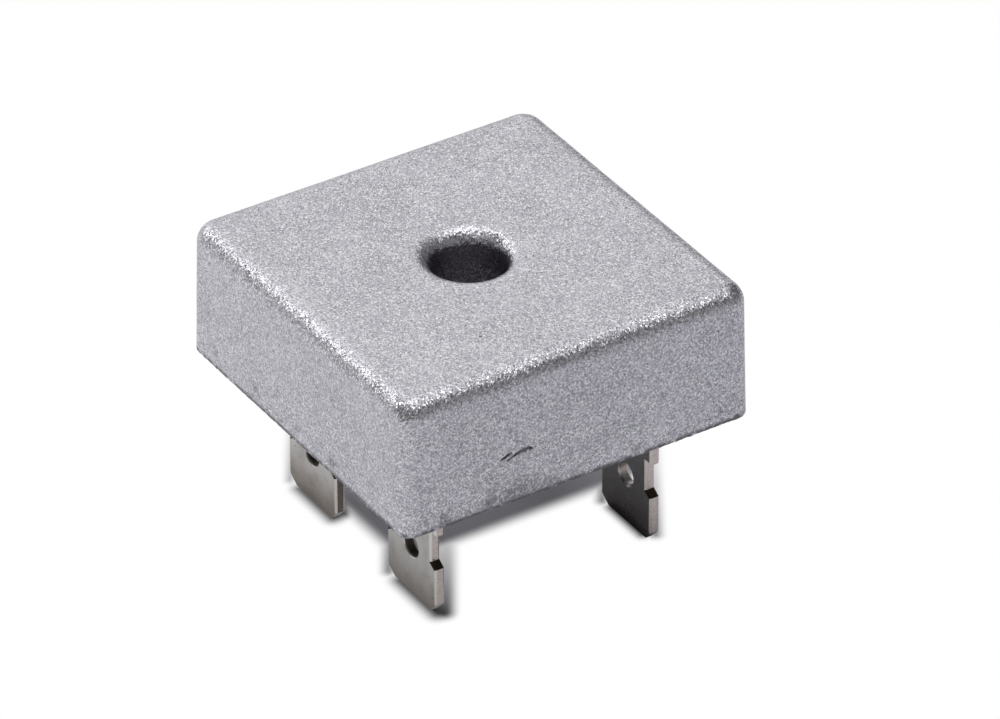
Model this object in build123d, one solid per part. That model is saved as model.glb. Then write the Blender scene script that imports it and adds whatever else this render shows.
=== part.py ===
from build123d import *
import os

# A metal-case bridge rectifier. It stands on the tips of its four blade terminals, which are
# at z = 0, and its screw hole runs along Z through the origin. Sizes are in millimetres.

# Case: an aluminium cup that stands open side down, with a tube for the fixing screw
case_width = 28.5
case_height = 10.8
rim_corner_radius = 1.0
face_corner_radius = 1.75
case_edge_radius = 1.5
case_side_wall = 1.3
case_face_thickness = 2.4
cavity_corner_radius = 1.2
rim_bevel = 0.12
screw_hole_diameter = 5.5
screw_hole_lip = 1.2
tube_wall = 1.25
tube_end_chamfer = 0.3

# Filling: the resin stops a little inside the rim
resin_recess = 0.35

# Insulating sheet between the case and the upper plates
sheet_thickness = 0.5
sheet_edge_clearance = 0.8
sheet_hole_clearance = 0.25
sheet_corner_radius = 1.0

# Diode dice, and the solder on both of their faces
die_size = 4.0
die_thickness = 0.3
solder_margin = 0.1
solder_thickness = 0.1

# Leads: plates that lie in a ring round the tube, each folded down into a blade
strip_thickness = 0.8
fold_inner_radius = 0.4
edge_bevel = 0.15
plate_margin = 0.05
plate_overhang = 0.2
tube_gap = 0.95
neighbour_gap = 1.25
wide_neighbour_gap = 2.1

# Blades: the push-on terminals below the rim, with heights measured up from the tip
blade_reach = 10.85
blade_width = 6.3
tip_chamfer_width = 0.75
tip_chamfer_height = 0.85
tip_bevel_depth = 0.15
tip_bevel_height = 1.0
detent_hole_diameter = 1.7
detent_hole_height = 4.15
notch_depth = 0.62
notch_height = 3.82
notch_shoulder = 0.4
notch_length = 2.85

# Levels that follow from the sizes above
rim_z = blade_reach
top_z = rim_z + case_height
ceiling_z = top_z - case_face_thickness
sheet_z = ceiling_z - sheet_thickness
upper_plate_z = sheet_z - strip_thickness
upper_solder_z = upper_plate_z - solder_thickness
die_z = upper_solder_z - die_thickness
lower_solder_z = die_z - solder_thickness
lower_plate_z = lower_solder_z - strip_thickness

# The ring of plates, seen from above
hole_radius = screw_hole_diameter / 2
tube_radius = hole_radius + tube_wall
plate_width = die_size + 2 * plate_margin
plate_inner_edge = tube_radius + tube_gap
plate_outer_edge = plate_inner_edge + plate_width
die_distance = plate_inner_edge + plate_width / 2
plate_end = die_size / 2 + plate_overhang
blade_centre = plate_end + neighbour_gap + blade_width / 2
wide_blade_centre = plate_end + wide_neighbour_gap + blade_width / 2

# Where the four dice lie round the tube: the name of each, and its centre
die_places = {
    "minus_left": (-die_distance, 0),
    "minus_right": (0, -die_distance),
    "plus_right": (die_distance, 0),
    "plus_left": (0, die_distance),
}


def level_square(z, width, corner_radius):
    """A level square outline with rounded corners, centred on the axis of the screw hole."""
    return Plane.XY.offset(z) * RectangleRounded(width, width, corner_radius)


def make_shell():
    """The case's solid outer form: a bevelled rim, and corners that grow rounder upwards."""
    sections = [
        level_square(rim_z, case_width - 2 * rim_bevel, rim_corner_radius - rim_bevel),
        level_square(rim_z + rim_bevel, case_width, rim_corner_radius),
        level_square(top_z, case_width, face_corner_radius),
    ]
    return loft(sections, ruled=True)


def round_bar(radius, bottom_z, top):
    """An upright cylinder on the axis of the screw hole."""
    return extrude(Plane.XY.offset(bottom_z) * Circle(radius), amount=top - bottom_z)


def make_cavity():
    """The space that the case's walls, face and tube leave inside."""
    outline = level_square(rim_z, case_width - 2 * case_side_wall, cavity_corner_radius)
    block = extrude(outline, amount=ceiling_z - rim_z)
    return block - round_bar(tube_radius, rim_z, ceiling_z)


def make_case(cavity):
    """The cup with a rounded upper edge, and its tube with a rounded lip."""
    body = make_shell()
    upper_edges = body.faces().sort_by(Axis.Z)[-1].edges()
    rounding = min(case_edge_radius, 0.95 * face_corner_radius)
    body = fillet(upper_edges, rounding)
    body -= cavity
    body -= round_bar(hole_radius, rim_z, top_z)
    body = fillet(bore_edges(body)[-1], min(screw_hole_lip, 0.95 * case_face_thickness))
    return chamfer(bore_edges(body)[0], min(tube_end_chamfer, 0.45 * tube_wall))


def bore_edges(body):
    """The circular edges at the ends of the screw hole's wall, lowest first."""
    circles = body.edges().filter_by(GeomType.CIRCLE)
    return circles.filter_by(lambda edge: abs(edge.radius - hole_radius) < 0.001).sort_by(Axis.Z)


def make_sheet():
    """The insulating sheet against the case's face, with a hole that clears the tube."""
    space = case_width / 2 - case_side_wall
    width = 2 * (space - sheet_edge_clearance)
    outline = RectangleRounded(width, width, sheet_corner_radius)
    outline -= Circle(tube_radius + sheet_hole_clearance)
    return extrude(Plane.XY.offset(sheet_z) * outline, amount=sheet_thickness)


def blade_outline(height):
    """A terminal's outline across its width: tip corners, and a notch on each side."""
    half = blade_width / 2
    neck = half - notch_depth
    shoulder_height = notch_height + notch_shoulder
    side = [
        (half - tip_chamfer_width, 0),
        (half, tip_chamfer_height),
        (half, notch_height),
        (neck, shoulder_height),
        (neck, notch_height + notch_length),
        (half, notch_height + notch_length),
        (half, height),
    ]
    mirrored = [(-across, up) for across, up in reversed(side)]
    return make_face(Polyline(*side, *mirrored, close=True))


def strip_profile(plate_z):
    """The folded strip seen edge on: a bevelled tip, the blade, the fold and the plate."""
    outer_radius = fold_inner_radius + strip_thickness
    fold_z = plate_z - fold_inner_radius
    plate_top = plate_z + strip_thickness
    centre = (outer_radius, fold_z)
    outline = Polyline(
        (0, fold_z),
        (0, tip_bevel_height),
        (tip_bevel_depth, 0),
        (strip_thickness - tip_bevel_depth, 0),
        (strip_thickness, tip_bevel_height),
        (strip_thickness, fold_z),
    )
    outline += CenterArc(centre, fold_inner_radius, 180, -90)
    outline += Polyline(
        (outer_radius, plate_z),
        (plate_width, plate_z),
        (plate_width, plate_top),
        (outer_radius, plate_top),
    )
    outline += CenterArc(centre, outer_radius, 90, 90)
    return make_face(outline)


def make_lead(plate_z, blade_centre):
    """One lead, as it stands in the corner where X and Y are both negative.

    The strip is folded about the plate's outer edge, and its blade's broad faces look along X.
    The plate is an angle with one arm along each side of the ring.
    """
    strip = extrude(Plane.XZ * strip_profile(plate_z), amount=blade_width / 2, both=True)
    across = Plane.YZ.offset(-strip_thickness) * blade_outline(plate_z + strip_thickness)
    strip &= extrude(across, amount=plate_width + 2 * strip_thickness)
    bore = Plane.YZ * Pos(0, detent_hole_height) * Circle(detent_hole_diameter / 2)
    strip -= extrude(bore, amount=strip_thickness)
    strip = bevel_blade_edges(strip)
    strip = Pos(-plate_outer_edge, -blade_centre) * strip

    fold_end = plate_outer_edge - fold_inner_radius - strip_thickness
    plate = Polyline(
        (-fold_end, -plate_outer_edge),
        (-fold_end, -blade_centre + blade_width / 2),
        (-plate_outer_edge, -blade_centre + blade_width / 2),
        (-plate_outer_edge, plate_end),
        (-plate_inner_edge, plate_end),
        (-plate_inner_edge, -plate_inner_edge),
        (plate_end, -plate_inner_edge),
        (plate_end, -plate_outer_edge),
        close=True,
    )
    return strip + extrude(Plane.XY.offset(plate_z) * make_face(plate), amount=strip_thickness)


def bevel_blade_edges(strip):
    """Bevel the rims of the blade's two broad faces and of its hole, as stamping leaves them."""
    for broad_face_x in (0, strip_thickness):
        faces = strip.faces().filter_by(GeomType.PLANE).filter_by(Axis.X)
        face = faces.sort_by(lambda face: abs(face.center().X - broad_face_x))[0]
        edges = face.edges().filter_by(lambda edge: edge.center().Z > tip_bevel_height)
        edges = edges.filter_by(lambda edge: edge.bounding_box().size.Y < blade_width - edge_bevel)
        strip = chamfer(edges, edge_bevel)
    return strip


def square_pad(centre, size, bottom_z, thickness):
    """A thin square pad on the ring, for a die or its solder."""
    outline = Plane.XY.offset(bottom_z) * Pos(*centre) * Rectangle(size, size)
    return extrude(outline, amount=thickness)


def make_resin(cavity, embedded):
    """The resin: all of the cavity above its level that holds nothing else."""
    slab = Plane.XY.offset(rim_z) * Rectangle(2 * case_width, 2 * case_width)
    resin = cavity - extrude(slab, amount=resin_recess)
    for piece in embedded:
        resin -= piece
    return resin


def make_parts():
    """Every piece of the rectifier, by its name."""
    cavity = make_cavity()
    parts = {"case": make_case(cavity), "insulating_sheet": make_sheet()}

    parts["lead_negative"] = make_lead(upper_plate_z, blade_centre)
    parts["lead_ac_left"] = mirror(make_lead(lower_plate_z, blade_centre), about=Plane.XZ)
    parts["lead_ac_right"] = mirror(make_lead(lower_plate_z, wide_blade_centre), about=Plane.YZ)
    corner_to_corner = Plane(origin=(0, 0, 0), z_dir=(1, 1, 0))
    parts["lead_positive"] = mirror(parts["lead_negative"], about=corner_to_corner)

    solder_size = die_size - 2 * solder_margin
    for name, centre in die_places.items():
        parts["die_" + name] = square_pad(centre, die_size, die_z, die_thickness)
        parts["solder_over_" + name] = square_pad(centre, solder_size, upper_solder_z, solder_thickness)
        parts["solder_under_" + name] = square_pad(centre, solder_size, lower_solder_z, solder_thickness)

    embedded = [piece for name, piece in parts.items() if name != "case"]
    parts["resin"] = make_resin(cavity, embedded)
    return parts


os.makedirs("parts", exist_ok=True)
for name, piece in make_parts().items():
    piece.label = name
    export_step(piece, "parts/" + name + ".step")
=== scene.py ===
"""Studio picture of a metal-case bridge rectifier that stands on its four blade terminals."""

import logging
import math
from dataclasses import dataclass, field
from enum import Enum

import bpy
import numpy as np
from mathutils import Euler, Matrix, Vector, noise


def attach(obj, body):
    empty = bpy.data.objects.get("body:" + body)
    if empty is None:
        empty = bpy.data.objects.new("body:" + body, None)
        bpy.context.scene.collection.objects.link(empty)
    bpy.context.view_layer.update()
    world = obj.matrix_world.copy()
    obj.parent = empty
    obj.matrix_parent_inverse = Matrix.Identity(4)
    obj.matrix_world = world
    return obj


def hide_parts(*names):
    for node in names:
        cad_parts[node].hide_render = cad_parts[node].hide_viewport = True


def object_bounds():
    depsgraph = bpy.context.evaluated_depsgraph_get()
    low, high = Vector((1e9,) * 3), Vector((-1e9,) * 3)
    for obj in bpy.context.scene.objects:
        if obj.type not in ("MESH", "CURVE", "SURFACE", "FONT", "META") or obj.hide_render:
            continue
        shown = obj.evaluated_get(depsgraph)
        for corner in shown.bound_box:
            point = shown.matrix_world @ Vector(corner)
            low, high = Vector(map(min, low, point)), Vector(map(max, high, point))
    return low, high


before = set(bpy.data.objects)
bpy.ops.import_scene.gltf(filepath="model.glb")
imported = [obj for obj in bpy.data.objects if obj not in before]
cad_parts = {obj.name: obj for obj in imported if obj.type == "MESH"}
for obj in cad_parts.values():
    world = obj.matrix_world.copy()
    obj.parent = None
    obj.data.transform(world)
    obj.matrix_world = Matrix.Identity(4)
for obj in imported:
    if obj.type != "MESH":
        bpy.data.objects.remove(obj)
CAD_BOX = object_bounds()

MM = 0.001

LOG = logging.getLogger("rectifier")

Colour = tuple[float, float, float]
Point = tuple[float, float, float]
Span = tuple[float, float]


def node_heights(name: str) -> Span:
    """Find how high a CAD node's ends are.

    Args:
        name: The node's name.

    Returns:
        The heights of its lowest and highest points, in millimetres.
    """
    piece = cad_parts[name]
    heights = [(piece.matrix_world @ vertex.co).z / MM for vertex in piece.data.vertices]
    return round(min(heights), 2), round(max(heights), 2)


CASE_WIDTH = round((CAD_BOX[1][0] - CAD_BOX[0][0]) / MM, 2)
RIM_Z, TOP_Z = node_heights("case")
FRONT_Y = -CASE_WIDTH / 2

# The share of a round spot's radius that is fully dark
SPOT_CORE = 0.4

# Where a soft change over most of a noise's range starts and ends, and over its middle alone
BROAD_NOISE = (0.3, 0.7)
MIDDLE_NOISE = (0.35, 0.65)


class Blend(Enum):
    """How two values are put together in a shader graph."""

    SUBTRACT = "SUBTRACT"
    MULTIPLY = "MULTIPLY"
    MAXIMUM = "MAXIMUM"


class CutSide(Enum):
    """The axis that a blade's stamped cut edges look along."""

    X = 0
    Y = 1


class ShaderGraph:
    """A material's node tree, with a short method for each node that the finishes use."""

    def __init__(self, name: str) -> None:
        """Start an empty material.

        Args:
            name: The material's name.
        """
        self.material = bpy.data.materials.new(name)
        self.material.use_nodes = True
        self.tree = self.material.node_tree
        self.tree.nodes.clear()
        self.output = self.tree.nodes.new("ShaderNodeOutputMaterial")
        self._place = None
        self._facing = None

    def add(self, kind: str, **settings: object) -> bpy.types.Node:
        """Add a node and set its properties.

        Args:
            kind: The node's type name.
            settings: Properties of the node, by name.

        Returns:
            The new node.
        """
        node = self.tree.nodes.new(kind)
        for name, value in settings.items():
            setattr(node, name, value)
        return node

    def feed(self, socket: bpy.types.NodeSocket, value: object) -> None:
        """Link a socket to another node's output, or set its own value.

        Args:
            socket: The input to fill.
            value: An output socket, a number or a colour.
        """
        if isinstance(value, bpy.types.NodeSocket):
            self.tree.links.new(value, socket)
        elif isinstance(value, tuple) and socket.type == "RGBA":
            socket.default_value = (*value, 1.0)
        else:
            socket.default_value = value

    def place(self) -> bpy.types.NodeSocket:
        """The point's place on the object, in metres."""
        if self._place is None:
            self._place = self.add("ShaderNodeTexCoord").outputs["Object"]
        return self._place

    def facing(self) -> bpy.types.NodeSocket:
        """The direction that the surface looks in, before any relief."""
        if self._facing is None:
            self._facing = self.add("ShaderNodeNewGeometry").outputs["Normal"]
        return self._facing

    def axis(self, vector: bpy.types.NodeSocket, index: int) -> bpy.types.NodeSocket:
        """One coordinate of a vector.

        Args:
            vector: The vector.
            index: 0 for X, 1 for Y and 2 for Z.

        Returns:
            The coordinate.
        """
        node = self.add("ShaderNodeSeparateXYZ")
        self.feed(node.inputs[0], vector)
        return node.outputs[index]

    def stretched(self, factors: Point) -> bpy.types.NodeSocket:
        """The point's place with each axis multiplied by a factor.

        Args:
            factors: One factor for each axis.

        Returns:
            The stretched place.
        """
        node = self.add("ShaderNodeVectorMath", operation="MULTIPLY")
        self.feed(node.inputs[0], self.place())
        node.inputs[1].default_value = factors
        return node.outputs[0]

    def noise(self, grain_mm: float, detail: float = 2.0, roughness: float = 0.5,
              place: bpy.types.NodeSocket | None = None) -> bpy.types.NodeSocket:
        """Smooth noise.

        Args:
            grain_mm: The size of its blobs in millimetres.
            detail: How many finer layers it has.
            roughness: How strong the finer layers are.
            place: Where it is read, or None for the point's own place.

        Returns:
            A value from 0 to 1, mostly near a half.
        """
        node = self.add("ShaderNodeTexNoise")
        self.feed(node.inputs["Vector"], place or self.place())
        node.inputs["Scale"].default_value = 1 / (grain_mm * MM)
        node.inputs["Detail"].default_value = detail
        node.inputs["Roughness"].default_value = roughness
        return node.outputs["Fac"]

    def cells(self, size_mm: float, output: str = "Distance") -> bpy.types.NodeSocket:
        """Random cells.

        Args:
            size_mm: The distance between neighbouring cells in millimetres.
            output: Distance to the cell's middle, or the cell's own random Color.

        Returns:
            The chosen output.
        """
        node = self.add("ShaderNodeTexVoronoi")
        self.feed(node.inputs["Vector"], self.place())
        node.inputs["Scale"].default_value = 1 / (size_mm * MM)
        return node.outputs[output]

    def mark(self, name: str) -> bpy.types.NodeSocket:
        """A value that the mesh carries at its points.

        Args:
            name: The attribute's name.

        Returns:
            The value.
        """
        return self.add("ShaderNodeAttribute", attribute_name=name).outputs["Fac"]

    def join(self, blend: Blend, first: object, second: object) -> bpy.types.NodeSocket:
        """Put two values together.

        Args:
            blend: How they are put together.
            first: A socket or a number.
            second: A socket or a number.

        Returns:
            The result.
        """
        node = self.add("ShaderNodeMath", operation=blend.value)
        self.feed(node.inputs[0], first)
        self.feed(node.inputs[1], second)
        return node.outputs[0]

    def size_of(self, value: bpy.types.NodeSocket) -> bpy.types.NodeSocket:
        """A number without its sign.

        Args:
            value: The number.

        Returns:
            Its absolute value.
        """
        node = self.add("ShaderNodeMath", operation="ABSOLUTE")
        self.feed(node.inputs[0], value)
        return node.outputs[0]

    def spread(self, value: bpy.types.NodeSocket, low: float, high: float,
               to_low: float = 0.0, to_high: float = 1.0) -> bpy.types.NodeSocket:
        """Stretch a value from one range to another with soft ends, and clip it there.

        Args:
            value: The value.
            low: The start of its range.
            high: The end of its range.
            to_low: What the start becomes.
            to_high: What the end becomes.

        Returns:
            The stretched value.
        """
        node = self.add("ShaderNodeMapRange", interpolation_type="SMOOTHSTEP")
        self.feed(node.inputs["Value"], value)
        node.inputs["From Min"].default_value = low
        node.inputs["From Max"].default_value = high
        node.inputs["To Min"].default_value = to_low
        node.inputs["To Max"].default_value = to_high
        return node.outputs["Result"]

    def spread_mm(self, length: bpy.types.NodeSocket, span: Span,
                  to_low: float = 0.0, to_high: float = 1.0) -> bpy.types.NodeSocket:
        """Stretch a length, with its range in millimetres.

        Args:
            length: The length, in metres as the nodes give it.
            span: The start and end of its range, in millimetres.
            to_low: What the start becomes.
            to_high: What the end becomes.

        Returns:
            The stretched value.
        """
        return self.spread(length, span[0] * MM, span[1] * MM, to_low, to_high)

    def between(self, level_mm: float, span: Span,
                to_low: float = 0.0, to_high: float = 1.0) -> bpy.types.NodeSocket:
        """Stretch the point's height above a level.

        Args:
            level_mm: The level, in millimetres.
            span: The heights above it where the range starts and ends, in millimetres.
            to_low: What the start becomes.
            to_high: What the end becomes.

        Returns:
            The stretched value.
        """
        heights = (level_mm + span[0], level_mm + span[1])
        return self.spread_mm(self.axis(self.place(), 2), heights, to_low, to_high)

    def around(self, span: Span) -> bpy.types.NodeSocket:
        """Stretch the point's distance from the axis of the screw hole.

        Args:
            span: The distances where the range starts and ends, in millimetres.

        Returns:
            A value from 0 to 1.
        """
        flat = self.add("ShaderNodeVectorMath", operation="LENGTH")
        self.feed(flat.inputs[0], self.stretched((1, 1, 0)))
        return self.spread_mm(flat.outputs["Value"], span)

    def slope(self, index: int = 2) -> bpy.types.NodeSocket:
        """How squarely the surface looks along an axis, either way: 1 fully and 0 not at all."""
        return self.size_of(self.axis(self.facing(), index))

    def mix(self, share: object, first: object, second: object) -> bpy.types.NodeSocket:
        """Mix two colours.

        Args:
            share: How much of the second there is, from 0 to 1.
            first: A colour or a socket.
            second: A colour or a socket.

        Returns:
            The mixed colour.
        """
        node = self.add("ShaderNodeMix", data_type="RGBA")
        self.feed(node.inputs["Factor"], share)
        self.feed(node.inputs["A"], first)
        self.feed(node.inputs["B"], second)
        return node.outputs["Result"]

    def spot(self, centre_mm: Point, radius_mm: float) -> bpy.types.NodeSocket:
        """A soft round spot.

        Args:
            centre_mm: Its middle, in millimetres.
            radius_mm: Its radius, in millimetres.

        Returns:
            1 in its middle and 0 outside it.
        """
        node = self.add("ShaderNodeVectorMath", operation="DISTANCE")
        self.feed(node.inputs[0], self.place())
        node.inputs[1].default_value = tuple(MM * value for value in centre_mm)
        return self.spread(node.outputs["Value"], radius_mm * MM, SPOT_CORE * radius_mm * MM)

    def facets(self, colour: bpy.types.NodeSocket, tilt: float) -> bpy.types.NodeSocket:
        """Tilt the surface at random, one way for each cell.

        Args:
            colour: The cells' random colours.
            tilt: How far they tilt it.

        Returns:
            The normal.
        """
        centred = self.add("ShaderNodeVectorMath", operation="SUBTRACT")
        self.feed(centred.inputs[0], colour)
        centred.inputs[1].default_value = (0.5, 0.5, 0.5)
        scaled = self.add("ShaderNodeVectorMath", operation="SCALE")
        self.feed(scaled.inputs[0], centred.outputs[0])
        scaled.inputs["Scale"].default_value = tilt
        tilted = self.add("ShaderNodeVectorMath", operation="ADD")
        self.feed(tilted.inputs[0], scaled.outputs[0])
        self.feed(tilted.inputs[1], self.facing())
        level = self.add("ShaderNodeVectorMath", operation="NORMALIZE")
        self.feed(level.inputs[0], tilted.outputs[0])
        return level.outputs[0]

    def bump(self, height: bpy.types.NodeSocket, depth_mm: float,
             under: bpy.types.NodeSocket | None = None) -> bpy.types.NodeSocket:
        """Turn a height into a surface normal.

        Args:
            height: A value from 0 to 1.
            depth_mm: How deep the full height is, in millimetres.
            under: Another relief that this one lies on.

        Returns:
            The normal.
        """
        node = self.add("ShaderNodeBump")
        node.inputs["Distance"].default_value = depth_mm * MM
        self.feed(node.inputs["Height"], height)
        if under is not None:
            self.feed(node.inputs["Normal"], under)
        return node.outputs["Normal"]

    def surface(self, colour: object, roughness: object, metallic: float,
                normal: bpy.types.NodeSocket | None = None) -> bpy.types.Material:
        """Finish the material with one glossy surface shader.

        Args:
            colour: The surface's colour.
            roughness: Its roughness.
            metallic: 1 for bare metal and 0 for anything else.
            normal: Its relief.

        Returns:
            The finished material.
        """
        shader = self.add("ShaderNodeBsdfPrincipled")
        self.feed(shader.inputs["Base Color"], colour)
        self.feed(shader.inputs["Roughness"], roughness)
        shader.inputs["Metallic"].default_value = metallic
        if normal is not None:
            self.feed(shader.inputs["Normal"], normal)
        self.tree.links.new(shader.outputs["BSDF"], self.output.inputs["Surface"])
        return self.material


@dataclass(frozen=True)
class BlastedAluminium:
    """The case's fine blasted skin: tiny facets that tilt every way, some of which sparkle.

    Sizes are in millimetres, and a span is where a soft change starts and ends.
    """

    colour: Colour = (0.645, 0.636, 0.69)
    dark_colour: Colour = (0.31, 0.305, 0.335)
    bright_colour: Colour = (0.99, 0.98, 1.0)
    # Painted shade on the wall of the screw hole.
    bore_shade_colour: Colour = (0.43, 0.41, 0.45)
    # Dark specks on the case, and the painted shade in a broken line along the foot of the walls.
    grime_and_shade_colour: Colour = (0.175, 0.17, 0.18)
    gouge_colour: Colour = (0.07, 0.065, 0.07)
    roughness: float = 0.32
    gouge_roughness: float = 0.6
    facet_size: float = 0.09
    facet_tilt: float = 0.4
    dull_facets: Span = (0.26, 0.14)
    dull_strength: float = 0.95
    bright_facets: Span = (0.74, 0.84)
    dent_size: float = 0.21
    dent_depth: float = 0.006
    patch_size: float = 2.6
    patch_noise: Span = (0.35, 0.7)
    patch_strength: float = 0.22
    upright_slope: Span = (0.75, 0.35)
    grit_size: float = 0.135
    dark_grit: Span = (0.4, 0.0)
    dark_grit_strength: float = 0.6
    light_grit: Span = (0.65, 1.0)
    light_grit_strength: float = 0.25
    rim_height: Span = (2.6, 0.8)
    clump_size: float = 1.3
    clump_noise: Span = (0.54, 0.7)
    speck_size: float = 0.22
    speck_noise: Span = (0.38, 0.6)
    speck_strength: Span = (0.2, 0.75)
    # A broken dark line along the foot of the walls: painted shade, the reflection of the shadow under
    # the case.
    rim_shade_height: Span = (0.6, 0.25)
    rim_shade_size: float = 0.45
    rim_shade_noise: Span = (0.3, 0.52)
    underside_slope: Span = (0.95, 0.75)
    pit_spacing: float = 0.9
    pit_radius: Span = (0.1, 0.06)
    pit_strength: float = 0.7
    rough_spots: tuple[tuple[Point, float], ...] = (
        ((-4.9, FRONT_Y, RIM_Z + 0.85), 2.2),
        ((-7.2, FRONT_Y, RIM_Z + 0.25), 1.6),
        ((-2.6, FRONT_Y, RIM_Z + 0.25), 1.3),
        ((-10.9, FRONT_Y, RIM_Z + 0.15), 1.1),
    )
    dark_spots: tuple[tuple[Point, float], ...] = (
        ((-4.9, -9.2, TOP_Z - 0.03), 0.17),
        ((13.0, FRONT_Y, RIM_Z + 0.2), 0.5),
    )
    bore_radius: Span = (3.25, 3.0)
    bore_depth: Span = (0.4, 2.2)

    def material(self) -> bpy.types.Material:
        """Build the material.

        Returns:
            The finished material.
        """
        graph = ShaderGraph("blasted_aluminium")
        random = graph.cells(self.facet_size, "Color")
        normal = graph.facets(random, self.facet_tilt)
        dents = graph.noise(self.dent_size, detail=1.0)
        normal = graph.bump(dents, self.dent_depth, under=normal)
        colour = self._skin(graph, random)
        # Dark specks, pits and a broken line of painted shade along the rim darken the skin.
        colour = graph.mix(self._grime_and_shade(graph), colour, self.grime_and_shade_colour)
        # The screw hole's wall is painted darker as shade.
        colour = graph.mix(self._bore_shade(graph), colour, self.bore_shade_colour)
        gouge = graph.mark("gouge")
        colour = graph.mix(gouge, colour, self.gouge_colour)
        roughness = graph.spread(gouge, 0.0, 1.0, self.roughness, self.gouge_roughness)
        return graph.surface(colour, roughness, 1.0, normal)

    def _skin(self, graph: ShaderGraph, random: bpy.types.NodeSocket) -> bpy.types.NodeSocket:
        """The clean skin: cloudy patches, dull and bright facets, and grit on the upright walls.

        Args:
            graph: The material's graph.
            random: The facets' random colours.

        Returns:
            Its colour.
        """
        patches = graph.noise(self.patch_size, detail=3.0)
        cloudy = graph.spread(patches, *self.patch_noise, 0.0, self.patch_strength)
        colour = graph.mix(cloudy, self.colour, self.dark_colour)
        dull = graph.spread(graph.axis(random, 0), *self.dull_facets, 0.0, self.dull_strength)
        colour = graph.mix(dull, colour, self.dark_colour)
        bright = graph.spread(graph.axis(random, 1), *self.bright_facets)
        colour = graph.mix(bright, colour, self.bright_colour)
        upright = graph.spread(graph.slope(), *self.upright_slope)
        grit = graph.axis(graph.cells(self.grit_size, "Color"), 0)
        dark = graph.spread(grit, *self.dark_grit, 0.0, self.dark_grit_strength)
        colour = graph.mix(graph.join(Blend.MULTIPLY, dark, upright), colour, self.dark_colour)
        light = graph.spread(grit, *self.light_grit, 0.0, self.light_grit_strength)
        return graph.mix(graph.join(Blend.MULTIPLY, light, upright), colour, self.bright_colour)

    def _grime_and_shade(self, graph: ShaderGraph) -> bpy.types.NodeSocket:
        """Dark specks, which gather in rough patches along the rim, a few single pits, and a broken line
        of painted shade along the foot of the walls.

        Args:
            graph: The material's graph.

        Returns:
            1 where the surface is dark.
        """
        near_rim = graph.between(RIM_Z, self.rim_height)
        clumps = graph.spread(graph.noise(self.clump_size, detail=2.0), *self.clump_noise)
        for centre, radius in self.rough_spots:
            clumps = graph.join(Blend.MAXIMUM, clumps, graph.spot(centre, radius))
        specks = graph.noise(self.speck_size, detail=2.0)
        specks = graph.spread(specks, *self.speck_noise, *self.speck_strength)
        rim = graph.join(Blend.MULTIPLY, near_rim, graph.join(Blend.MULTIPLY, clumps, specks))
        # Painted shade: a broken dark line just above the rim, the reflection of the shadow under the
        # case.
        lowest = graph.between(RIM_Z, self.rim_shade_height)
        broken = graph.spread(graph.noise(self.rim_shade_size, detail=2.0), *self.rim_shade_noise)
        rim = graph.join(Blend.MAXIMUM, rim, graph.join(Blend.MULTIPLY, lowest, broken))
        rim = graph.join(Blend.MULTIPLY, rim, graph.spread(graph.slope(), *self.underside_slope))
        pits = graph.spread(graph.cells(self.pit_spacing), *self.pit_radius)
        marks = graph.join(Blend.MAXIMUM, rim, graph.join(Blend.MULTIPLY, pits, self.pit_strength))
        for centre, radius in self.dark_spots:
            marks = graph.join(Blend.MAXIMUM, marks, graph.spot(centre, radius))
        return marks

    def _bore_shade(self, graph: ShaderGraph) -> bpy.types.NodeSocket:
        """Painted shade on the wall of the screw hole, growing darker further down.

        Args:
            graph: The material's graph.

        Returns:
            1 on the wall.
        """
        start, end = self.bore_depth
        inside = graph.around(self.bore_radius)
        return graph.join(Blend.MULTIPLY, inside, graph.between(TOP_Z, (-start, -end)))


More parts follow.
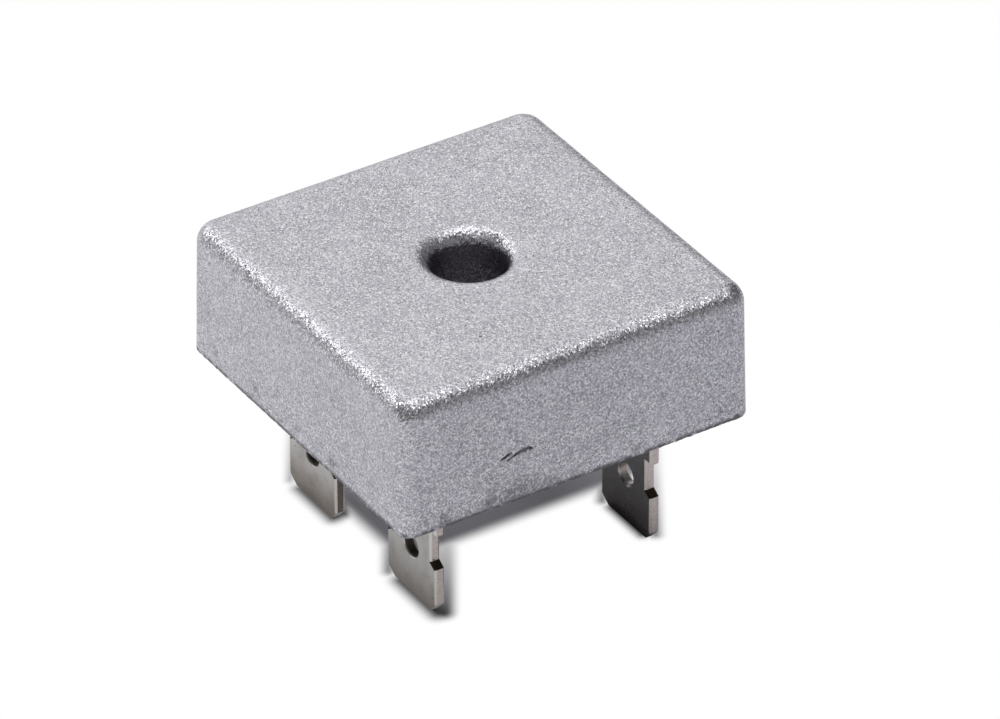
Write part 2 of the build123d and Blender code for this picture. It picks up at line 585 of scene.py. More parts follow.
@dataclass(frozen=True)
class SatinNickel:
    """A lead's satin nickel plating: warm grey, browner towards the tip, with sheared cut edges, painted
    shade in its hole and on its ledges, and a painted highlight on its worn bevels.

    Sizes are in millimetres, and a span is where a soft change starts and ends.
    """

    name: str
    cut_side: CutSide
    hole_centre: Point
    # How dark the painted shade in the detent hole is.
    hole_shade: float = 0.9
    # How far the metal turns darker and browner towards the tip.
    tip_darkening: float = 0.8
    # The cut edges' colour; on one lead a near-black one is painted shade.
    edge_colour: Colour = (0.80, 0.71, 0.66)
    colour: Colour = (0.63, 0.615, 0.59)
    # The bevels' lighter colour: worn plating and a painted highlight.
    wear_and_highlight_colour: Colour = (0.86, 0.82, 0.78)
    cloud_colour: Colour = (0.36, 0.325, 0.29)
    tip_colour: Colour = (0.20, 0.17, 0.145)
    # Dark pits, and the painted shade in the detent hole and on the notches' ledges.
    grime_and_shade_colour: Colour = (0.08, 0.06, 0.04)
    smoothest: float = 0.21
    roughest: float = 0.35
    grime_and_shade_roughness: float = 0.8
    cloud_size: float = 1.5
    cloud_noise: Span = (0.42, 0.75)
    cloud_strength: float = 0.45
    tip_height: Span = (4.0, -0.3)
    cut_slope: Span = (0.7, 0.9)
    cut_strength: float = 0.9
    shear_size: float = 0.35
    shear_stretch: Point = (0.6, 0.6, 5.0)
    shear_strength: float = 0.4
    shear_depth: float = 0.02
    bevel_slope: Span = (0.3, 0.45)
    bevel_strength: float = 0.8
    grain_size: float = 0.16
    rolled_size: float = 0.5
    rolled_stretch: Point = (3.0, 3.0, 0.3)
    grain_depth: float = 0.006
    hole_radius: Span = (0.97, 0.91)
    ledge_slope: Span = (0.3, 0.5)
    ledge_height: Span = (4.5, 4.4)
    ledge_reach: Span = (1.1, 1.4)
    pit_spacing: float = 1.1
    pit_radius: Span = (0.07, 0.04)
    pit_strength: float = 0.8

    def material(self) -> bpy.types.Material:
        """Build the material.

        Returns:
            The finished material.
        """
        graph = ShaderGraph("satin_nickel_" + self.name)
        clouds = graph.noise(self.cloud_size, detail=3.0)
        cloudy = graph.spread(clouds, *self.cloud_noise, 0.0, self.cloud_strength)
        colour = graph.mix(cloudy, self.colour, self.cloud_colour)
        tip = graph.between(0.0, self.tip_height, 0.0, self.tip_darkening)
        colour = graph.mix(tip, colour, self.tip_colour)

        cut = graph.spread(graph.slope(self.cut_side.value), *self.cut_slope)
        lines = graph.noise(self.shear_size, detail=3.0, place=graph.stretched(self.shear_stretch))
        torn = graph.spread(lines, *MIDDLE_NOISE, 0.0, self.shear_strength)
        sheared = graph.mix(torn, self.edge_colour, self.cloud_colour)
        colour = graph.mix(graph.join(Blend.MULTIPLY, cut, self.cut_strength), colour, sheared)
        # Lighter bevels: worn plating, and a painted highlight along the edges.
        slanted = graph.join(Blend.MULTIPLY, graph.slope(0), graph.slope(1))
        bevel = graph.spread(slanted, *self.bevel_slope, 0.0, self.bevel_strength)
        colour = graph.mix(bevel, colour, self.wear_and_highlight_colour)
        # Painted shade in the detent hole and on the notches' ledges, and a few dark pits.
        grime_and_shade = self._grime_and_shade(graph)
        colour = graph.mix(grime_and_shade, colour, self.grime_and_shade_colour)

        normal = graph.bump(graph.noise(self.grain_size, detail=2.0), self.grain_depth)
        rolled = graph.noise(self.rolled_size, detail=2.0, place=graph.stretched(self.rolled_stretch))
        normal = graph.bump(rolled, self.grain_depth, under=normal)
        normal = graph.bump(graph.join(Blend.MULTIPLY, lines, cut), self.shear_depth, under=normal)
        roughness = graph.spread(clouds, *BROAD_NOISE, self.smoothest, self.roughest)
        rough_marks = graph.join(Blend.MULTIPLY, grime_and_shade, self.grime_and_shade_roughness)
        return graph.surface(colour, graph.join(Blend.MAXIMUM, roughness, rough_marks), 1.0, normal)

    def _grime_and_shade(self, graph: ShaderGraph) -> bpy.types.NodeSocket:
        """Painted shade in the detent hole and on the notches' ledges, and a few dark pits.

        Args:
            graph: The material's graph.

        Returns:
            1 where the metal is dark.
        """
        from_hole = graph.add("ShaderNodeVectorMath", operation="SUBTRACT")
        graph.feed(from_hole.inputs[0], graph.place())
        from_hole.inputs[1].default_value = tuple(MM * value for value in self.hole_centre)
        flat = graph.add("ShaderNodeVectorMath", operation="MULTIPLY")
        graph.feed(flat.inputs[0], from_hole.outputs[0])
        flat.inputs[1].default_value = (0, 1, 1) if self.cut_side is CutSide.Y else (1, 0, 1)
        away = graph.add("ShaderNodeVectorMath", operation="LENGTH")
        graph.feed(away.inputs[0], flat.outputs[0])
        hole = graph.spread_mm(away.outputs["Value"], self.hole_radius, 0.0, self.hole_shade)
        looks_up = graph.spread(graph.axis(graph.facing(), 2), *self.ledge_slope)
        low = graph.between(0.0, self.ledge_height)
        beside = graph.spread_mm(away.outputs["Value"], self.ledge_reach)
        ledge = graph.join(Blend.MULTIPLY, looks_up, graph.join(Blend.MULTIPLY, low, beside))
        hollows = graph.join(Blend.MAXIMUM, hole, ledge)
        pits = graph.spread(graph.cells(self.pit_spacing), *self.pit_radius)
        return graph.join(Blend.MAXIMUM, hollows, graph.join(Blend.MULTIPLY, pits, self.pit_strength))


@dataclass(frozen=True)
class CastResin:
    """The dark epoxy that fills the case, which creeps up the walls and the tube a little.

    Sizes are in millimetres.
    """

    colour: Colour = (0.016, 0.016, 0.018)
    lighter: float = 1.8
    smoothest: float = 0.20
    roughest: float = 0.36
    wall: float = 12.95
    tube: float = 4.0
    creep: float = 0.9
    creep_depth: float = 0.3
    cloud_size: float = 3.0
    wave_size: float = 1.6
    wave_depth: float = 0.03
    dimple_spacing: float = 2.4
    dimple_radius: Span = (0.12, 0.05)
    dimple_depth: float = 0.05

    def material(self) -> bpy.types.Material:
        """Build the material.

        Returns:
            The finished material.
        """
        graph = ShaderGraph("cast_resin")
        clouds = graph.noise(self.cloud_size, detail=2.0)
        light_colour = tuple(self.lighter * value for value in self.colour)
        colour = graph.mix(graph.spread(clouds, *BROAD_NOISE), self.colour, light_colour)
        across = graph.size_of(graph.axis(graph.place(), 0))
        along = graph.size_of(graph.axis(graph.place(), 1))
        edge = graph.join(Blend.MAXIMUM, across, along)
        walls = graph.spread_mm(edge, (self.wall - self.creep, self.wall))
        tube = graph.around((self.tube + self.creep, self.tube))
        normal = graph.bump(graph.join(Blend.MAXIMUM, walls, tube), self.creep_depth)
        normal = graph.bump(graph.noise(self.wave_size, detail=3.0), self.wave_depth, under=normal)
        dimples = graph.spread(graph.cells(self.dimple_spacing), *self.dimple_radius)
        level = graph.join(Blend.SUBTRACT, 1.0, dimples)
        normal = graph.bump(level, self.dimple_depth, under=normal)
        roughness = graph.spread(clouds, *BROAD_NOISE, self.smoothest, self.roughest)
        return graph.surface(colour, roughness, 0.0, normal)


@dataclass(frozen=True)
class SealedFinish:
    """A simple mottled finish for the pieces that are sealed in the resin. In millimetres."""

    name: str
    colour: Colour
    metallic: float
    roughness: float
    darker: float = 0.75
    mottle_size: float = 0.4
    mottle_depth: float = 0.01

    def material(self) -> bpy.types.Material:
        """Build the material.

        Returns:
            The finished material.
        """
        graph = ShaderGraph(self.name)
        mottle = graph.noise(self.mottle_size, detail=3.0)
        dark_colour = tuple(self.darker * value for value in self.colour)
        colour = graph.mix(graph.spread(mottle, *MIDDLE_NOISE), self.colour, dark_colour)
        relief = graph.bump(mottle, self.mottle_depth)
        return graph.surface(colour, self.roughness, self.metallic, relief)


@dataclass(frozen=True)
class Ring:
    """One closed line round the case: a square with rounded corners, or a circle.

    half: Half the square's width, or the circle's radius.
    corner: The corners' radius.
    z: The height.
    roundness: How far the line has turned from the square (0) to the circle (1).
    circle: The radius that it turns into.
    """

    half: float
    corner: float
    z: float
    roundness: float = 0.0
    circle: float = 0.0


@dataclass
class Stroke:
    """One scratch of the gouge in the front face, as a line of (x, z, half width)."""

    points: list[tuple[float, float, float]]

    def reach(self, x: np.ndarray, z: np.ndarray) -> np.ndarray:
        """How deep each point lies in the scratch.

        Args:
            x: The points' X in millimetres.
            z: The points' Z in millimetres.

        Returns:
            1 in the scratch's middle and 0 outside it.
        """
        best = np.zeros_like(x)
        for (x0, z0, w0), (x1, z1, w1) in zip(self.points, self.points[1:]):
            length = (x1 - x0) ** 2 + (z1 - z0) ** 2
            share = np.clip(((x - x0) * (x1 - x0) + (z - z0) * (z1 - z0)) / length, 0, 1)
            away = np.hypot(x - x0 - share * (x1 - x0), z - z0 - share * (z1 - z0))
            width = w0 + share * (w1 - w0)
            best = np.maximum(best, np.clip(1.25 - away / width, 0, 1))
        return best


@dataclass
class BlastedCase:
    """The case as a dense mesh of rings, with its uneven skin, ragged rim and gouge.

    Sizes are in millimetres, rates are turns of the noise for each of them, and heights of
    rings are measured up from the rim.
    """

    width: float = CASE_WIDTH
    rim_z: float = RIM_Z
    top_z: float = TOP_Z
    rim_corner: float = 1.0
    face_corner: float = 1.75
    edge_radius: float = 1.5
    side_wall: float = 1.3
    cavity_corner: float = 1.2
    face_thickness: float = 2.4
    rim_bevel: float = 0.12
    hole_radius: float = 2.75
    lip_radius: float = 1.2
    tube_radius: float = 4.0
    tube_chamfer: float = 0.3
    side_columns: int = 150
    corner_columns: int = 12
    rim_rings: int = 7
    low_rings: tuple[float, float, int] = (1.25, 3.5, 9)
    burr_band: tuple[float, int] = (1.0, 8)
    wall_start: float = 4.5
    wall_rings: int = 20
    arc_rings: int = 15
    face_rings: int = 26
    face_crowding: float = 1.15
    bore_rings: int = 9
    tube_levels: tuple[float, ...] = (13.5, 16.5)
    wall_levels: tuple[float, ...] = (16.5, 14.0, 12.0, 11.2)
    sharp_angle: float = 38.0
    waviness: float = 0.028
    slow_rates: Span = (0.35, 0.9)
    quick_rate: float = 2.7
    raggedness: float = 0.07
    ragged_height: float = 0.3
    burr_rates: Span = (3.1, 7.3)
    gouge_depth: float = 0.07
    gouge_across: Span = (-6.7, -3.7)
    gouge_column_step: float = 0.05
    gouge_height: Span = (3.6, 4.3)
    gouge_ring_step: float = 0.045
    chatter_rate: float = 6.5
    wall_tolerance: float = 0.02
    face_dish: float = 0.15
    strokes: list[Stroke] = field(default_factory=lambda: [
        Stroke([(-6.46, 14.77, 0.08), (-6.2, 14.90, 0.13), (-5.94, 15.00, 0.13), (-5.63, 15.07, 0.08)]),
        Stroke([(-5.96, 14.56, 0.05), (-5.49, 14.77, 0.1), (-4.97, 14.92, 0.14), (-4.59, 14.96, 0.2),
                (-4.31, 15.00, 0.2), (-3.97, 14.88, 0.12)]),
    ])

    def columns(self) -> np.ndarray:
        """Where the mesh's columns stand on a ring.

        Returns:
            Rows of (side, place along its straight part from -1 to 1, angle round its corner).
        """
        rows = []
        for side in range(4):
            places = np.linspace(-1, 1, self.side_columns + 1)
            if side == 0:
                straight = self.width / 2 - self.rim_corner
                fine = np.arange(*self.gouge_across, self.gouge_column_step) / straight
                places = np.concatenate([places[places < fine[0]], fine, places[places > fine[-1]]])
            rows += [(side, place, 0.0) for place in places]
            angles = np.linspace(0, math.pi / 2, self.corner_columns + 1)[1:-1]
            rows += [(side, 1.0, angle) for angle in angles]
        return np.array(rows)

    def corner_at(self, z: float) -> float:
        """The radius of the case's upright corners at a height."""
        share = (z - self.rim_z) / (self.top_z - self.rim_z)
        return self.rim_corner + (self.face_corner - self.rim_corner) * share

    def outer_rings(self) -> list[Ring]:
        """The rings of the rim, the outer wall, the rounded edge, the face, the lip and the hole.

        Returns:
            The rings in order. They lie closer at the ragged rim and across the gouge.
        """
        half = self.width / 2
        inner = half - self.side_wall
        centre_z = self.top_z - self.edge_radius
        rings = []
        for share in np.linspace(0, 1, self.rim_rings):
            corner = self.cavity_corner + share * (self.rim_corner - self.rim_bevel - self.cavity_corner)
            rings.append(Ring(inner + share * (self.side_wall - self.rim_bevel), corner, self.rim_z))
        heights = np.concatenate([
            self.rim_z + np.linspace(self.rim_bevel, *self.burr_band),
            self.rim_z + np.linspace(*self.low_rings),
            self.rim_z + np.arange(*self.gouge_height, self.gouge_ring_step),
            np.linspace(self.rim_z + self.wall_start, centre_z, self.wall_rings)[:-1],
        ])
        for z in heights:
            rings.append(Ring(half, self.corner_at(z), z))
        for angle in np.linspace(0, math.pi / 2, self.arc_rings):
            inset = self.edge_radius * (1 - math.cos(angle))
            z = centre_z + self.edge_radius * math.sin(angle)
            rings.append(Ring(half - inset, self.corner_at(z) - inset, z))
        lip_start = self.hole_radius + self.lip_radius
        edge = rings[-1]
        for share in 1 - np.linspace(1, 0, self.face_rings)[1:] ** self.face_crowding:
            rings.append(Ring(edge.half, edge.corner, self.top_z, share, lip_start))
        for angle in np.linspace(0, math.pi / 2, self.arc_rings)[1:]:
            z = self.top_z - self.lip_radius * (1 - math.cos(angle))
            rings.append(Ring(0, 0, z, 1.0, lip_start - self.lip_radius * math.sin(angle)))
        ends = (self.top_z - self.lip_radius, self.rim_z + self.tube_chamfer)
        for z in np.linspace(*ends, self.bore_rings)[1:]:
            rings.append(Ring(0, 0, z, 1.0, self.hole_radius))
        return rings

    def inner_rings(self) -> list[Ring]:
        """The rings of the tube's end, its outside, the ceiling and the inner wall.

        Returns:
            The rings in order, back to the rim.
        """
        half = self.width / 2 - self.side_wall
        ceiling_z = self.top_z - self.face_thickness
        rings = [Ring(0, 0, self.rim_z, 1.0, self.hole_radius + self.tube_chamfer),
                 Ring(0, 0, self.rim_z, 1.0, self.tube_radius)]
        rings += [Ring(0, 0, z, 1.0, self.tube_radius) for z in (*self.tube_levels, ceiling_z)]
        for share in (0.75, 0.5, 0.25, 0.0):
            rings.append(Ring(half, self.cavity_corner, ceiling_z, share, self.tube_radius))
        rings += [Ring(half, self.cavity_corner, z) for z in self.wall_levels]
        return rings

    def ring_points(self, ring: Ring, columns: np.ndarray) -> np.ndarray:
        """Lay the columns on one ring.

        Args:
            ring: The ring.
            columns: The rows of columns().

        Returns:
            One (x, y, z) row for each column.
        """
        side, place, angle = columns[:, 0], columns[:, 1], columns[:, 2]
        straight = ring.half - ring.corner
        along = place * straight + ring.corner * np.sin(angle)
        out = straight + ring.corner * np.cos(angle)
        turn = side * math.pi / 2
        x = along * np.cos(turn) + out * np.sin(turn)
        y = along * np.sin(turn) - out * np.cos(turn)
        if ring.roundness > 0:
            reference = self.width / 2 - self.face_corner
            ref_along = place * reference + self.face_corner * np.sin(angle)
            ref_out = reference + self.face_corner * np.cos(angle)
            heading = np.arctan2(-ref_out, ref_along) + turn
            x = x + ring.roundness * (ring.circle * np.cos(heading) - x)
            y = y + ring.roundness * (ring.circle * np.sin(heading) - y)
        return np.stack([x, y, np.full_like(x, ring.z)], axis=1)

    def roughen(self, points: np.ndarray, normals: np.ndarray,
                outer: int) -> tuple[np.ndarray, np.ndarray]:
        """Press the uneven skin, the ragged rim and the gouge into the outer rings.

        Args:
            points: The smooth mesh, as (ring, column, xyz).
            normals: Its outward normals, in the same order.
            outer: How many rings are on the outside.

        Returns:
            The pressed points, and the gouge's mark at each point.
        """
        depth = np.zeros(points.shape[:2])
        chatter = np.zeros_like(depth)
        for row in range(outer):
            for column in range(points.shape[1]):
                place = Vector(points[row, column])
                depth[row, column] = self._unevenness(place)
                if abs(place.y + self.width / 2) < self.wall_tolerance:
                    chatter[row, column] = 1.0 + 0.8 * noise.noise(place * self.chatter_rate)
        x, z = points[..., 0], points[..., 2]
        gouge = np.zeros_like(depth)
        for stroke in self.strokes:
            gouge = np.maximum(gouge, stroke.reach(x, z))
        gouge = np.clip(gouge * chatter, 0, 1)
        depth += self.gouge_depth * gouge
        depth[0] = 0
        pressed = points - normals * depth[..., None]
        pressed[..., 2] -= self._dish(points) * (pressed[..., 2] > self.rim_z)
        return pressed, gouge

    def _unevenness(self, place: Vector) -> float:
        """How deep the cast skin lies at one point, with its waves and the rim's burrs.

        Args:
            place: The point, in millimetres.

        Returns:
            The depth, in millimetres.
        """
        broad, middling = self.slow_rates
        slow = noise.noise(place * broad) + 0.5 * noise.noise(place * middling)
        quick = noise.noise(place * self.quick_rate)
        depth = self.waviness * (0.55 + 0.35 * slow + 0.12 * quick)
        near_rim = max(0.0, 1 - (place.z - self.rim_z) / self.ragged_height)
        if near_rim > 0:
            coarse, fine = self.burr_rates
            burr = 0.5 + 0.9 * noise.noise(place * coarse) + 0.5 * noise.noise(place * fine)
            depth += self.raggedness * near_rim * max(burr, 0.0)
        return depth

    def _dish(self, points: np.ndarray) -> np.ndarray:
        """How far the face sinks from the rounded edge towards the hole.

        Args:
            points: The smooth mesh, as (ring, column, xyz).

        Returns:
            The drop at each point, which fades away below the face.
        """
        flat_half = self.width / 2 - self.edge_radius
        from_axis = np.hypot(points[..., 0], points[..., 1])
        inwards = np.clip((flat_half - from_axis) / (flat_half - self.hole_radius), 0, 1)
        below = self.top_z - points[..., 2]
        high = np.clip(1 - below / self.face_thickness, 0, 1)
        return self.face_dish * np.sin(0.5 * math.pi * inwards) ** 2 * high

    def build(self, material: bpy.types.Material) -> bpy.types.Object:
        """Make the mesh, dress it and let it stand for the case.

        Args:
            material: The case's finish.

        Returns:
            The finished piece.
        """
        columns = self.columns()
        outer = self.outer_rings()
        rings = outer + self.inner_rings()
        points = np.stack([self.ring_points(ring, columns) for ring in rings])
        along = np.roll(points, -1, axis=1) - np.roll(points, 1, axis=1)
        across = np.roll(points, -1, axis=0) - np.roll(points, 1, axis=0)
        normals = np.cross(along, across)
        normals /= np.maximum(np.linalg.norm(normals, axis=2, keepdims=True), 1e-9)
        points, gouge = self.roughen(points, normals, len(outer))
        rows, count = points.shape[:2]
        index = np.arange(rows * count).reshape(rows, count)
        right = np.roll(index, -1, axis=1)
        faces = np.stack([index, right, np.roll(right, -1, axis=0), np.roll(index, -1, axis=0)], axis=2)
        mesh = bpy.data.meshes.new("blasted_case")
        mesh.from_pydata((points.reshape(-1, 3) * MM).tolist(), [], faces.reshape(-1, 4).tolist())
        mark = mesh.attributes.new("gouge", "FLOAT", "POINT")
        mark.data.foreach_set("value", gouge.reshape(-1).astype(np.float32))
        mesh.shade_smooth()
        mesh.set_sharp_from_angle(angle=math.radians(self.sharp_angle))
        mesh.materials.append(material)
        piece = bpy.data.objects.new("blasted_case", mesh)
        bpy.context.scene.collection.objects.link(piece)
        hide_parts("case")
        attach(piece, "root")
        LOG.info("blasted_case: %d faces", len(mesh.polygons))
        return piece


@dataclass
class Internals:
    """The CAD nodes that stay as they are: the leads, the resin and what is sealed in it."""

    leads: tuple[SatinNickel, ...] = (
        SatinNickel("negative", CutSide.Y, (-8.65, -6.6, 4.15)),
        # On this lead the near-black cut edges are painted shade from the case.
        SatinNickel("ac_left", CutSide.Y, (-8.65, 6.6, 4.15), tip_darkening=0.97,
                    edge_colour=(0.11, 0.08, 0.065), tip_colour=(0.20, 0.155, 0.125)),
        # This lead's darker colour is painted shade: the dark reflection of the floor under the case.
        SatinNickel("ac_right", CutSide.Y, (8.65, -7.45, 4.15), hole_shade=0.2,
                    colour=(0.48, 0.47, 0.45)),
        SatinNickel("positive", CutSide.X, (6.6, 8.65, 4.15)),
    )

    def dress(self) -> None:
        """Give every node its finish."""
        for lead in self.leads:
            self._dress("lead_" + lead.name, lead.material())
        self._dress("resin", CastResin().material())
        ceramic = SealedFinish("white_ceramic", (0.75, 0.74, 0.70), 0.0, 0.6).material()
        silicon = SealedFinish("ground_silicon", (0.10, 0.11, 0.13), 0.6, 0.35).material()
        solder = SealedFinish("dull_solder", (0.45, 0.45, 0.46), 1.0, 0.45).material()
        self._dress("insulating_sheet", ceramic)
        for node in sorted(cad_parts):
            if node.startswith("die_"):
                self._dress(node, silicon)
            elif node.startswith("solder_"):
                self._dress(node, solder)

    def _dress(self, node: str, material: bpy.types.Material) -> None:
        """Give one node its finish.

        Args:
            node: The node's name.
            material: The finish.
        """
        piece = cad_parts[node]
        piece.data.materials.clear()
        piece.data.materials.append(material)
        LOG.info("%s: %s", node, material.name)


def bearing(azimuth: float, elevation: float) -> Vector:
    """The direction from the object to a point in the studio.

    Args:
        azimuth: Degrees round the object, 0 in front and 90 at the right.
        elevation: Degrees above the floor.

    Returns:
        A vector of length 1.
    """
    turn, tilt = math.radians(azimuth), math.radians(elevation)
    return Vector((math.sin(turn) * math.cos(tilt), -math.cos(turn) * math.cos(tilt), math.sin(tilt)))


@dataclass
class PhotoCamera:
    """The camera that took the photograph, as fitted to the case's outline.

    Angles are in degrees, and the nearest and farthest depths are in metres.
    """

    place_mm: Point = (-258.008, -408.928, 340.575)
    azimuth: float = -32.503
    elevation: float = 34.145
    roll: float = -0.166
    lens_mm: float = 300.29
    sensor_mm: float = 36.0
    nearest: float = 0.01
    farthest: float = 50.0

    def build(self) -> None:
        """Make the camera, and make it the scene's own."""
        data = bpy.data.cameras.new("photo_camera")
        data.lens = self.lens_mm
        data.sensor_width = self.sensor_mm
        data.sensor_fit = "HORIZONTAL"
        data.clip_start = self.nearest
        data.clip_end = self.farthest
        camera = bpy.data.objects.new("photo_camera", data)
        camera.location = Vector(self.place_mm) * MM
        level = Euler((math.radians(90 - self.elevation), 0, math.radians(self.azimuth))).to_matrix()
        camera.rotation_euler = (level @ Matrix.Rotation(math.radians(self.roll), 3, "Z")).to_euler()
        bpy.context.scene.collection.objects.link(camera)
        bpy.context.scene.camera = camera


@dataclass
class Softbox:
    """A rectangular lamp that looks at the object; its strength is how bright its surface is.

    Angles are in degrees and lengths in metres.
    """

    name: str
    azimuth: float
    elevation: float
    distance: float
    width: float
    height: float
    strength: float

    def build(self) -> None:
        """Hang the lamp."""
        data = bpy.data.lights.new(self.name, "AREA")
        data.shape = "RECTANGLE"
        data.size = self.width
        data.size_y = self.height
        data.energy = self.strength * math.pi * self.width * self.height
        lamp = bpy.data.objects.new(self.name, data)
        back = bearing(self.azimuth, self.elevation)
        lamp.location = back * self.distance
        lamp.rotation_euler = back.to_track_quat("Z", "Y").to_euler()
        bpy.context.scene.collection.objects.link(lamp)


@dataclass
class Glow:
    """A soft patch of the surroundings that is brighter than the rest, in degrees.

    inner: How far from its middle it is evenly bright.
    outer: How far from its middle it ends.
    """

    azimuth: float
    elevation: float
    inner: float
    outer: float
    strength: float


def soft_step(share: np.ndarray) -> np.ndarray:
    """Clip values to 0..1, with soft ends."""
    share = np.clip(share, 0, 1)
    return share * share * (3 - 2 * share)


@dataclass(frozen=True)
class Patch:
    """A rectangle on the floor with rounded corners and a soft edge, in millimetres."""

    low: tuple[float, float]
    high: tuple[float, float]
    corner: float
    soft: float

    def cover(self, x: np.ndarray, y: np.ndarray) -> np.ndarray:
        """How much of each point the patch covers.

        Args:
            x: The points' X.
            y: The points' Y.

        Returns:
            1 inside it and 0 outside it.
        """
        (west, south), (east, north) = self.low, self.high
        over_x = np.abs(x - (west + east) / 2) - (east - west) / 2 + self.corner
        over_y = np.abs(y - (south + north) / 2) - (north - south) / 2 + self.corner
        away = np.hypot(np.maximum(over_x, 0), np.maximum(over_y, 0))
        away += np.minimum(np.maximum(over_x, over_y), 0)
        return soft_step(0.5 - (away - self.corner) / self.soft)


@dataclass
class Studio:
    """The white floor, the surroundings and the soft lamps. The floor is in millimetres.

    mirrored_front, mirrored_back: How strong the painted white glow is that the floor shows only in the
    metal, before and behind.
    covered: Where the case keeps that glow away, a painted shadow of the case in the metal.
    shadow, feet, trails: Where the floor shows its shadow: under the case, at the blades' tips,
        and in a fading streak (x, y, half width) of painted shadow behind each blade's edge.
    """

    floor_half: float = 1500.0
    fine_half: float = 40.0
    fine_step: float = 0.3
    floor_colour: Colour = (0.74, 0.74, 0.795)
    mirrored_front: float = 0.09
    mirrored_back: float = 0.56
    dark_room: float = 0.13
    back_azimuth: float = 222.0
    back_reach: float = 45.0
    covered: Patch = Patch((-5.5, -12.0), (16.0, 16.0), 1.0, 4.0)
    shadow: Patch = Patch((-7.55, -3.0), (13.0, 13.0), 1.2, 1.6)
    feet: list[Patch] = field(default_factory=lambda: [
        Patch((-9.45, 3.6), (-8.0, 9.0), 0.5, 1.35),
        Patch((-9.5, -10.3), (-7.9, -4.2), 0.7, 1.45),
        Patch((8.0, -9.8), (9.0, -5.0), 0.4, 1.0),
        Patch((4.2, 8.2), (9.0, 9.3), 0.4, 1.35),
    ])
    # How dark the painted contact shadow round each blade's foot makes the floor.
    foot_dark: float = 0.75
    trails: list[tuple[float, float, float]] = field(default_factory=lambda: [
        (-8.0, 4.2, 0.6), (-8.4, -9.7, 0.8), (9.2, -9.9, 0.4),
        (-9.0, 9.75, 0.2), (-9.0, -3.5, 0.4), (8.3, -4.4, 0.35)])
    trail_azimuth: float = 147.5
    trail_length: float = 12.0
    trail_soft: float = 1.1
    trail_fade: float = 0.65
    glows: list[Glow] = field(default_factory=lambda: [
        Glow(168, 32, 22, 48, 0.725),
        Glow(224, 6, 13, 44, 0.36),
        Glow(30, -5, 5, 45, 0.25),
        Glow(-55, 52, 8, 30, 0.50),
        Glow(66, 61, 10, 27, 0.80),
    ])
    lamps: list[Softbox] = field(default_factory=lambda: [
        Softbox("overhead", 150, 86, 0.7, 0.40, 0.40, 2.1),
        Softbox("back_left", 209, 37, 0.8, 0.21, 0.21, 3.6),
    ])

    def build(self) -> None:
        """Make the floor, the surroundings and the lamps."""
        self._floor()
        self._room()
        for lamp in self.lamps:
            lamp.build()

    def _shade(self, x: np.ndarray, y: np.ndarray) -> np.ndarray:
        """How much of the object's shadow shows on the floor.

        Args:
            x: The points' X.
            y: The points' Y.

        Returns:
            1 under the case and beside the blades, and 0 where the floor is plain white.
        """
        shade = np.maximum(self.shadow.cover(x, y), self._contact(x, y))
        # A fading streak of painted shadow behind each blade's edge.
        along = bearing(self.trail_azimuth, 0) * self.trail_length
        for foot_x, foot_y, radius in self.trails:
            from_x, from_y = x - foot_x, y - foot_y
            share = np.clip((from_x * along.x + from_y * along.y) / along.length_squared, 0, 1)
            away = np.hypot(from_x - share * along.x, from_y - share * along.y) - radius
            faded = 1 - self.trail_fade * share
            shade = np.maximum(shade, faded * soft_step(0.5 - away / self.trail_soft))
        return shade

    def _contact(self, x: np.ndarray, y: np.ndarray) -> np.ndarray:
        """The painted contact shadow round the foot of each blade.

        Args:
            x: The points' X.
            y: The points' Y.

        Returns:
            1 at a foot and 0 away from it.
        """
        return np.maximum.reduce([foot.cover(x, y) for foot in self.feet])

    def _mirrored(self, x: np.ndarray, y: np.ndarray) -> np.ndarray:
        """How strong the painted white glow in the metal is: brighter towards the back, and none under
        the case.

        Args:
            x: The points' X.
            y: The points' Y.

        Returns:
            The share of white.
        """
        back = bearing(self.back_azimuth, 0)
        share = np.clip((x * back.x + y * back.y + self.back_reach) / (2 * self.back_reach), 0, 1)
        white = self.mirrored_front + (self.mirrored_back - self.mirrored_front) * share
        return white * (1 - self.covered.cover(x, y))

    def _floor(self) -> None:
        """A white floor that the camera sees as white, apart from the object's shadow."""
        fine = np.arange(-self.fine_half, self.fine_half + self.fine_step / 2, self.fine_step)
        ticks = np.concatenate([[-self.floor_half], fine, [self.floor_half]])
        x, y = np.meshgrid(ticks, ticks)
        count = len(ticks)
        index = np.arange(count * count).reshape(count, count)
        faces = np.stack([index[:-1, :-1], index[:-1, 1:], index[1:, 1:], index[1:, :-1]], axis=2)
        mesh = bpy.data.meshes.new("floor")
        points = np.stack([x, y, np.zeros_like(x)], axis=2).reshape(-1, 3) * MM
        mesh.from_pydata(points.tolist(), [], faces.reshape(-1, 4).tolist())
        marks = {
            "shadow": self._shade(x, y),
            "mirrored": self._mirrored(x, y),
            "contact": self._contact(x, y),
        }
        for name, values in marks.items():
            mark = mesh.attributes.new(name, "FLOAT", "POINT")
            mark.data.foreach_set("value", values.reshape(-1).astype(np.float32))
        floor = bpy.data.objects.new("floor", mesh)
        bpy.context.scene.collection.objects.link(floor)
        mesh.materials.append(self._floor_material())

    def _floor_material(self) -> bpy.types.Material:
        """The floor's finish: paper white with a painted contact shadow, a painted glow in the metal,
        and clear from below.

        Returns:
            The material.
        """
        graph = ShaderGraph("white_floor")
        diffuse = graph.add("ShaderNodeBsdfDiffuse")
        # The floor's colour is painted darker round each blade's foot, as a contact shadow.
        darker = tuple((1 - self.foot_dark) * value for value in self.floor_colour)
        graph.feed(diffuse.inputs["Color"], graph.mix(graph.mark("contact"), self.floor_colour, darker))
        white = graph.add("ShaderNodeEmission")
        white.inputs["Strength"].default_value = 1.0
        ray = graph.add("ShaderNodeLightPath")
        glossy, through = ray.outputs["Is Glossy Ray"], ray.outputs["Is Transmission Ray"]
        bounced = graph.join(Blend.MAXIMUM, glossy, through)
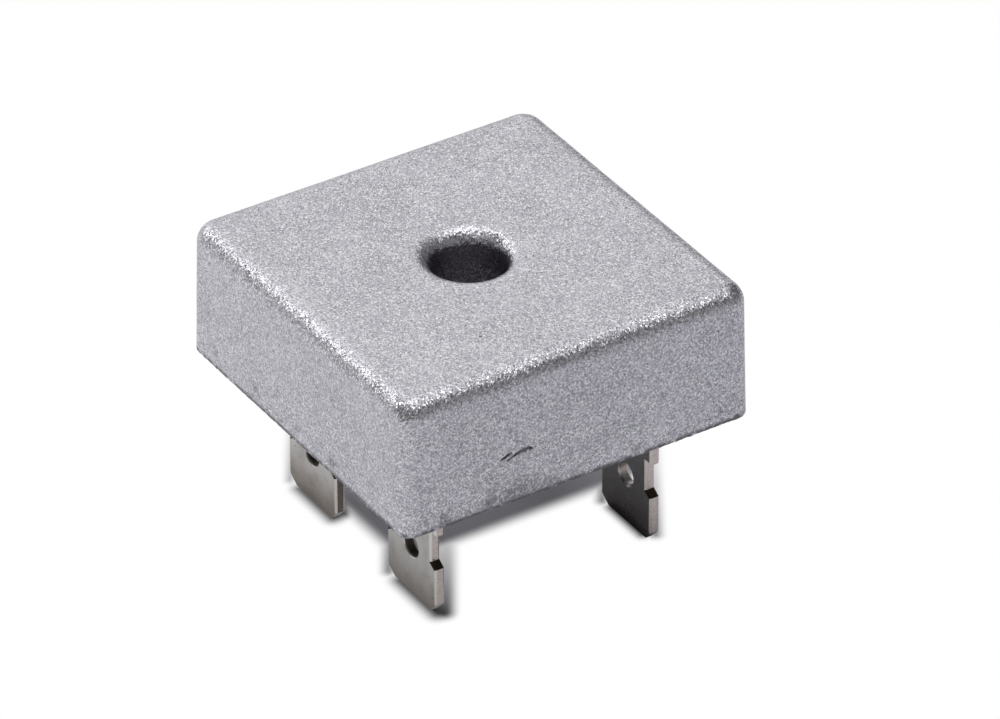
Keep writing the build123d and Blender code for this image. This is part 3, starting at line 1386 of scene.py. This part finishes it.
        # In the metal the floor shows a painted white glow, brighter behind and none under the case.
        mirrored = graph.join(Blend.MULTIPLY, bounced, graph.mark("mirrored"))
        plain = graph.join(Blend.SUBTRACT, 1.0, graph.mark("shadow"))
        seen = graph.join(Blend.MULTIPLY, ray.outputs["Is Camera Ray"], plain)
        paper = graph.add("ShaderNodeMixShader")
        graph.feed(paper.inputs["Fac"], graph.join(Blend.MAXIMUM, seen, mirrored))
        graph.tree.links.new(diffuse.outputs[0], paper.inputs[1])
        graph.tree.links.new(white.outputs[0], paper.inputs[2])
        sheet = graph.add("ShaderNodeMixShader")
        clear = graph.add("ShaderNodeBsdfTransparent")
        graph.feed(sheet.inputs["Fac"], graph.add("ShaderNodeNewGeometry").outputs["Backfacing"])
        graph.tree.links.new(paper.outputs[0], sheet.inputs[1])
        graph.tree.links.new(clear.outputs[0], sheet.inputs[2])
        graph.tree.links.new(sheet.outputs[0], graph.output.inputs["Surface"])
        return graph.material

    def _room(self) -> None:
        """White surroundings for the camera, and the dim studio with its glows for the object."""
        world = bpy.data.worlds.new("room")
        bpy.context.scene.world = world
        world.use_nodes = True
        nodes, links = world.node_tree.nodes, world.node_tree.links
        nodes.clear()
        output = nodes.new("ShaderNodeOutputWorld")
        way = nodes.new("ShaderNodeTexCoord").outputs["Generated"]
        total = None
        for glow in self.glows:
            facing = nodes.new("ShaderNodeVectorMath")
            facing.operation = "DOT_PRODUCT"
            links.new(way, facing.inputs[0])
            facing.inputs[1].default_value = bearing(glow.azimuth, glow.elevation)
            patch = nodes.new("ShaderNodeMapRange")
            patch.interpolation_type = "SMOOTHSTEP"
            links.new(facing.outputs["Value"], patch.inputs["Value"])
            patch.inputs["From Min"].default_value = math.cos(math.radians(glow.outer))
            patch.inputs["From Max"].default_value = math.cos(math.radians(glow.inner))
            patch.inputs["To Max"].default_value = glow.strength
            joined = nodes.new("ShaderNodeMath")
            joined.operation = "ADD"
            links.new(patch.outputs["Result"], joined.inputs[0])
            if total is None:
                joined.inputs[1].default_value = self.dark_room
            else:
                links.new(total, joined.inputs[1])
            total = joined.outputs[0]
        room = nodes.new("ShaderNodeBackground")
        links.new(total, room.inputs["Strength"])
        white = nodes.new("ShaderNodeBackground")
        for background in (room, white):
            background.inputs["Color"].default_value = (1, 1, 1, 1)
        ray = nodes.new("ShaderNodeLightPath")
        mixed = nodes.new("ShaderNodeMixShader")
        links.new(ray.outputs["Is Camera Ray"], mixed.inputs["Fac"])
        links.new(room.outputs[0], mixed.inputs[1])
        links.new(white.outputs[0], mixed.inputs[2])
        links.new(mixed.outputs[0], output.inputs["Surface"])


def main() -> None:
    """Build the camera, the studio and every piece with its finish, in order."""
    logging.basicConfig(level=logging.INFO, format="%(name)s: %(message)s")
    bpy.context.scene.view_settings.view_transform = "Standard"
    PhotoCamera().build()
    Studio().build()
    BlastedCase().build(BlastedAluminium().material())
    Internals().dress()


if __name__ == "__main__":
    main()
